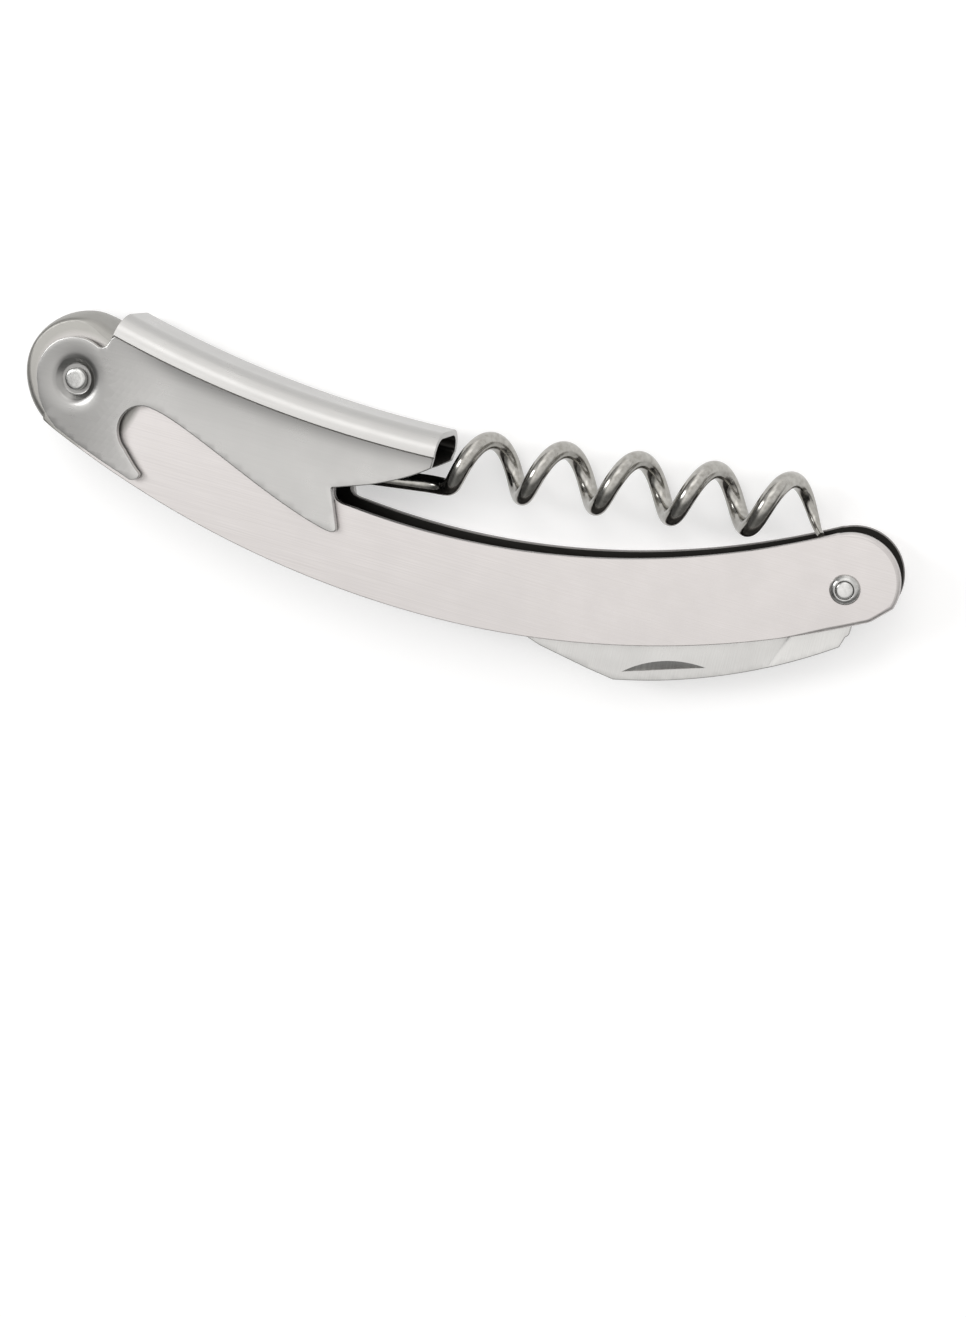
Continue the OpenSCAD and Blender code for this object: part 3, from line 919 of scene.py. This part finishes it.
SPINE_C = Vector((SPAN - 42.2, 50.4))
SPINE_R = 72.7
NICK_AT = Vector((SPAN - 20, -17.3))
NICK_TURN = 19.0
NICK_R = 14.0
NICK_HALF = 5.6
NICK_DEPTH = 0.5
GRIND_TOP = Vector((SPAN - 5.5, -8.9))
GRIND_LOW = Vector((SPAN - 6.8, -12.5))
HOLLOW_DEPTH = 0.1
GRIND_STEP = 0.25
TAPER_FROM = 2.5
TAPER_WIDTH = 7.0
EDGE_HALF = 0.2
BLADE_RIM_R = 0.12
SPINE_START_X = SPAN - 26.2
SPINE_STOP_X = SPAN + 1.1
HEEL_X = SPAN + 1.9
TANG_R = 4.4
TANG_ARC = (-64.4, 214.8)


def blade_outline():
    """Counter-clockwise: the point, the spine, the heel, the round tang and the cutting edge."""
    spine_start = low_angle(SPINE_C, SPINE_R, SPINE_START_X)
    spine_stop = low_angle(SPINE_C, SPINE_R, SPINE_STOP_X)
    loop = [Vector((SPAN - 47, -15.6)), Vector((SPAN - 36.9, -18.8)), Vector((SPAN - 30, -20))]
    loop += arc(SPINE_C, SPINE_R, spine_start, spine_stop, 50)
    loop += curve((HEEL_X - 0.4, -6.55), (HEEL_X - 0.1, -6.3), (HEEL_X, -6.2), (HEEL_X, -5.7), 4)
    loop += arc(KNIFE_PIVOT, TANG_R, *TANG_ARC, 60)
    edge = [(-6, -4.5), (-16, -10.5), (-30, -12.5), (-46.4, -15)]
    loop += curve(*[Vector((SPAN + x, y)) for x, y in edge], 50)
    return loop


GRIND_WAY = (GRIND_TOP - GRIND_LOW).normalized()
GRIND_ACROSS = Vector((GRIND_WAY.y, -GRIND_WAY.x))


def past_grind(p):
    """How far a point of the blade lies past the grinding line, on the side of the ricasso."""
    return (p - GRIND_LOW).x * GRIND_WAY.y - (p - GRIND_LOW).y * GRIND_WAY.x


def grind_points(outline, near):
    """Points on both sides of the grinding line, so that the faces follow it."""
    points = []
    for side in (-GRIND_STEP, 0, GRIND_STEP):
        for k in range(-40, 60):
            p = GRIND_LOW + GRIND_WAY * (0.2 * k) + GRIND_ACROSS * side
            if within(p, outline) and not near(p, 0.3):
                points.append(p)
    return points


def blade_top(p):
    """Half thickness: full at the ricasso, hollow ground past it, thin at the cutting edge."""
    ground = smooth(0.5 - past_grind(p) / (2 * GRIND_STEP))
    from_spine = SPINE_R - (p - SPINE_C).length
    taper = smooth((from_spine - TAPER_FROM) / TAPER_WIDTH)
    thin = HOLLOW_DEPTH + (BLADE_HALF - HOLLOW_DEPTH - EDGE_HALF) * taper
    return BLADE_HALF - ground * thin


def blade_bottom(p):
    return -blade_top(p)


def nick_line():
    """The nail nick: for each step along its chord, the chord point and the arc point."""
    turn = Matrix.Rotation(math.radians(NICK_TURN), 2)
    drop = math.sqrt(NICK_R**2 - NICK_HALF**2)
    columns = []
    for k in range(29):
        u = NICK_HALF * math.sin(math.pi * (k / 28 - 0.5))
        v = max(0.0, math.sqrt(NICK_R**2 - u * u) - drop)
        columns.append((NICK_AT + turn @ Vector((u, 0)), NICK_AT + turn @ Vector((u, v)), v))
    return columns


def knife_body():
    skin = Skin()
    loop = spaced(blade_outline(), RIM_STEP)
    hole = circle_hole(KNIFE_PIVOT, KNIFE_RIVET_R + PIVOT_GAP)
    columns = nick_line()
    nick = [c[1] for c in columns] + [c[0] for c in columns[-2:0:-1]]
    near = near_rim([loop, hole, nick])
    inside = [p for p in grid((SPAN - 48, -21), (SPAN + 5, 5), 0.8) if not near(p, 0.35)]
    inside = [p for p in inside if abs(past_grind(p)) > 2 * GRIND_STEP] + grind_points(loop, near)
    # The blade's rims get painted shade.
    plate(skin, [loop, hole], inside, blade_top, blade_bottom, BLADE_RIM_R, BLADE_RIM_SHADE, [nick])
    for k, face in enumerate(skin.faces):
        middle = sum((Vector(skin.points[n][:2]) for n in face), Vector((0, 0))) / len(face)
        if past_grind(middle) < 0:
            skin.tones[k] = max(skin.tones[k], GROUND_TONE)
    skin.tone = GROUND_TONE
    deepest = max(c[2] for c in columns)
    rows = []
    for low, high, v in columns:
        depth = NICK_DEPTH * v / deepest
        row = [up(low, blade_top(low))]
        for n in range(6):
            t = n / 5
            q = low.lerp(high, t)
            row.append(up(q, blade_top(q) - depth * (1 - t)))
        rows.append(row)
    for a, b in zip(rows, rows[1:]):
        skin.strip(a, b)
    return skin


piece("knife_ground_blade", knife_body(), "knife", "blade_steel", blade_steel, "knife_blade", sharp=20)

# ---- turned pieces: rivets, burrs, bushes, washers, spacers and pins ----


def lathe(skin, centre, profile, steps=64):
    """Turns a closed profile of (radius, height) points round an axis along Z."""
    rings = []
    for r, z in profile:
        ring = []
        for k in range(steps + 1):
            a = math.tau * (k % steps) / steps
            ring.append(Vector((centre[0] + r * math.cos(a), centre[1] + r * math.sin(a), z)))
        rings.append(ring)
    for a, b in zip(rings, rings[1:] + rings[:1]):
        if a is rings[-1] and profile[0][0] == 0 and profile[-1][0] == 0:
            continue
        skin.strip(a, b)
    return skin


def corner(r, z, size, start, steps=4):
    """A rounded corner of a profile, as an arc about (r, z) over a quarter turn from start."""
    line = []
    for k in range(steps + 1):
        a = math.radians(start + 90 * k / steps)
        line.append((r + size * math.cos(a), z + size * math.sin(a)))
    return line


def tube_profile(outer, bore, low, high, rim):
    """A ring with rounded corners."""
    line = corner(outer - rim, low + rim, rim, -90)
    line += corner(outer - rim, high - rim, rim, 0)
    line += corner(bore + rim, high - rim, rim, 90)
    line += corner(bore + rim, low + rim, rim, 180)
    return line


def pin_profile(radius, low, high, rim=0.12):
    """A solid pin with rounded ends."""
    side = radius - rim
    return [(0, low), *corner(side, low + rim, rim, -90), *corner(side, high - rim, rim, 0), (0, high)]


def box_heights(name):
    low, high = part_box(name)
    return in_drawing(low).z, in_drawing(high).z


def box_radius(name):
    low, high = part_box(name)
    return (high.x - low.x) / 2 / MM


def box_centre(name):
    low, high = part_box(name)
    return in_drawing((low + high) / 2)


TUBE_RIM = 0.08
turned_rings = {
    "lever_bushing": ("spacer_steel", spacer_steel, LEVER_RIVET_R),
    "lever_washer_front": ("washer_steel", washer_steel, LEVER_RIVET_R),
    "lever_washer_rear": ("washer_steel", washer_steel, LEVER_RIVET_R),
    "worm_spacer_front": ("spacer_steel", spacer_steel, WORM_PIN_R),
    "worm_spacer_rear": ("spacer_steel", spacer_steel, WORM_PIN_R),
    "knife_spacer_front": ("spacer_steel", spacer_steel, KNIFE_RIVET_R),
    "knife_spacer_rear": ("spacer_steel", spacer_steel, KNIFE_RIVET_R),
}
for name, (slot, material, bore) in turned_rings.items():
    low, high = box_heights(name)
    rim = min(TUBE_RIM, (high - low) / 4)
    ring = lathe(Skin(), box_centre(name), tube_profile(box_radius(name), bore, low, high, rim))
    piece(name + "_turned", ring, "handle", slot, material, name)

low, high = box_heights("worm_pin")
pin = lathe(Skin(), box_centre("worm_pin"), pin_profile(box_radius("worm_pin"), low, high))
piece("worm_pin_turned", pin, "handle", "pin_steel", pin_steel, "worm_pin")

pins = Skin()
for centre in SPRING_PINS:
    lathe(pins, centre, pin_profile(SPRING_PIN_R, -WALL_OUT, WALL_OUT))
piece("spring_pins_turned", pins, "handle", "pin_steel", pin_steel, "spring_pins")


def both_ends(upper):
    """A profile from its upper half, given from the axis outwards and down."""
    return upper + [(r, -z) for r, z in reversed(upper)]


HEAD_LIFT = 0.02


def lever_rivet_profile():
    """Shank and two domed heads, which sit in the dishes of the ears."""
    top = CHEEK_OUT - PLAY
    under = CHEEK_OUT - DISH_DEPTH + HEAD_LIFT
    upper = [(0, top), (0.9, top - 0.01)]
    for k in range(1, 9):
        a = math.radians(90 * k / 8)
        upper.append((1.08 + 0.47 * math.sin(a), top - 0.38 + 0.37 * math.cos(a)))
    upper += [(1.55, under + 0.06), (1.49, under), (LEVER_RIVET_R, under)]
    return both_ends(upper)


def knife_rivet_profile():
    """A shank whose ends are peened flat."""
    top = box_heights("knife_rivet")[1]
    upper = [(0, top), (0.72, top - 0.01)]
    for k in range(1, 7):
        a = math.radians(90 * k / 6)
        upper.append((0.8 + 0.3 * math.sin(a), top - 0.22 + 0.2 * math.cos(a)))
    return both_ends(upper)


def burr_profile(height):
    """A rolled ring that stands on the wall, with its foot at height 0."""
    outside = [(1.95, 0), (1.93, 0.12), (1.8, 0.3), (1.6, 0.46), (1.4, height - 0.03), (1.28, height)]
    return outside + [(1.18, height - 0.04), (1.12, height - 0.14), (KNIFE_RIVET_R, 0)]


rivet = lathe(Skin(), (0, 0), lever_rivet_profile())
piece("lever_rivet_headed", rivet, "handle", "rivet_steel", rivet_steel, "lever_rivet")

rivet = lathe(Skin(), KNIFE_PIVOT, knife_rivet_profile())
piece("knife_rivet_peened", rivet, "handle", "rivet_steel", rivet_steel, "knife_rivet")

for name, side in (("knife_burr_front", 1), ("knife_burr_rear", -1)):
    height = max(abs(z) for z in box_heights(name)) - WALL_OUT
    profile = [(r, side * (WALL_OUT + z)) for r, z in burr_profile(height)]
    burr = lathe(Skin(), KNIFE_PIVOT, profile)
    piece(name + "_rolled", burr, "handle", "burr_steel", burr_steel, name)

# ---- back spring: the CAD bar, painted near-black as the shade in the gap between the walls ----

spring = frame["nodes"]["back_spring"]
spring.data.materials.clear()
spring.data.materials.append(spring_shade_steel)

# ---- floor, light and camera ----


def flat_material(name, colour, rough, glow):
    """A plain matt surface with a faint unevenness, lit a little from below."""
    material = bpy.data.materials.new(name)
    material.use_nodes = True
    tree = material.node_tree
    shader = tree.nodes["Principled BSDF"]
    where = node(tree, "ShaderNodeTexCoord").outputs["Object"]
    soft = stretched_noise(tree, where, (3, 3, 3))
    tint = mixed(tree, ranged(tree, soft, 0, 1), colour, tuple(c * 0.985 for c in colour))
    tree.links.new(tint, shader.inputs["Base Color"])
    shader.inputs["Roughness"].default_value = rough
    shader.inputs["Specular IOR Level"].default_value = 0.0
    shader.inputs["Emission Color"].default_value = (1, 1, 1, 1)
    shader.inputs["Emission Strength"].default_value = glow
    return material


FLOOR_SIZE = 8
centre = (cad_box[0] + cad_box[1]) / 2
bpy.ops.mesh.primitive_plane_add(size=FLOOR_SIZE, location=(centre.x, centre.y, cad_box[0].z))
floor = bpy.context.object
floor.name = "floor"
floor.data.materials.append(flat_material("floor_paper", (0.72, 0.72, 0.72), 0.9, 0.4))

LAMP_SIDE = (0.12, 0.60, 0.79)
FLAG_SIDE = (1.0, 0.0, 0.0)
ROOM = (0.30, 0.30, 0.295)
SOFT_WALL = (1.46, 1.445, 1.43)
FLAG = 0.38
RIGHT_FLAG = 0.72
LAMP_SPREAD = (0.15, 0.64)
FLAG_SPREAD = (-0.6, -0.26)
RIGHT_FLAG_SPREAD = (-0.12, 0.2)

world = bpy.data.worlds.new("studio")
world.use_nodes = True
sky = world.node_tree


def facing(side, low, high, spread_over):
    """How far a direction of the sky turns to one side, spread softly from low to high."""
    turn = node(sky, "ShaderNodeVectorMath", operation="DOT_PRODUCT")
    sky.links.new(node(sky, "ShaderNodeTexCoord").outputs["Generated"], turn.inputs[0])
    turn.inputs[1].default_value = side
    spread = ranged(sky, turn.outputs["Value"], low, high, *spread_over)
    spread.node.interpolation_type = "SMOOTHSTEP"
    return spread


# A bright wall on the lamp's side of a plain room, dimmed by a dark flag on the left and a
# lighter one on the right.
wall_tone = mixed(sky, facing(LAMP_SIDE, 0.0, 1.0, LAMP_SPREAD), ROOM, SOFT_WALL)
sky.links.new(wall_tone, sky.nodes["Background"].inputs["Color"])
dimmed = node(sky, "ShaderNodeMath", operation="MULTIPLY")
sky.links.new(facing(FLAG_SIDE, FLAG, 1.0, FLAG_SPREAD), dimmed.inputs[0])
sky.links.new(facing(FLAG_SIDE, 1.0, RIGHT_FLAG, RIGHT_FLAG_SPREAD), dimmed.inputs[1])
sky.links.new(dimmed.outputs[0], sky.nodes["Background"].inputs["Strength"])
bpy.context.scene.world = world


def softbox(name, direction, distance, size, power):
    """A rectangular soft light that looks at the object from a direction."""
    light = bpy.data.lights.new(name, "AREA")
    light.shape = "RECTANGLE"
    light.size, light.size_y = size
    light.energy = power
    lamp = bpy.data.objects.new(name, light)
    way = Vector(direction).normalized()
    lamp.location = centre + way * distance
    lamp.rotation_mode = "QUATERNION"
    lamp.rotation_quaternion = way.to_track_quat("Z", "Y")
    bpy.context.scene.collection.objects.link(lamp)


softbox("key_above", (-0.1, 0.62, 0.75), 0.7, (0.5, 0.25), 0.25)
softbox("left_key", (-0.72, 0.12, 0.68), 0.7, (0.2, 0.3), 1.2)

CAMERA_AT = Vector((118.98, 46.84, 254.0))
CAMERA_AIM = Vector((62.94, -22.94, 0.0))
CAMERA_ROLL = 13.15
FOCAL = 54.67
SENSOR = 36.0

camera_data = bpy.data.cameras.new("camera")
camera_data.sensor_width = SENSOR
camera_data.lens = FOCAL
camera = bpy.data.objects.new("camera", camera_data)
eye = DRAWING @ CAMERA_AT
aim = DRAWING @ CAMERA_AIM
sight = (aim - eye).normalized()
upright = Vector((0, 1, 0))
side = sight.cross(upright).normalized()
upright = side.cross(sight)
roll = math.radians(CAMERA_ROLL)
right = side * math.cos(roll) + upright * math.sin(roll)
above = right.cross(sight)
camera.matrix_world = Matrix.Translation(eye) @ Matrix((right, above, -sight)).transposed().to_4x4()
camera_data.clip_start = 0.01
camera_data.clip_end = 20
bpy.context.scene.collection.objects.link(camera)
bpy.context.scene.camera = camera
bpy.context.scene.view_settings.view_transform = "Standard"
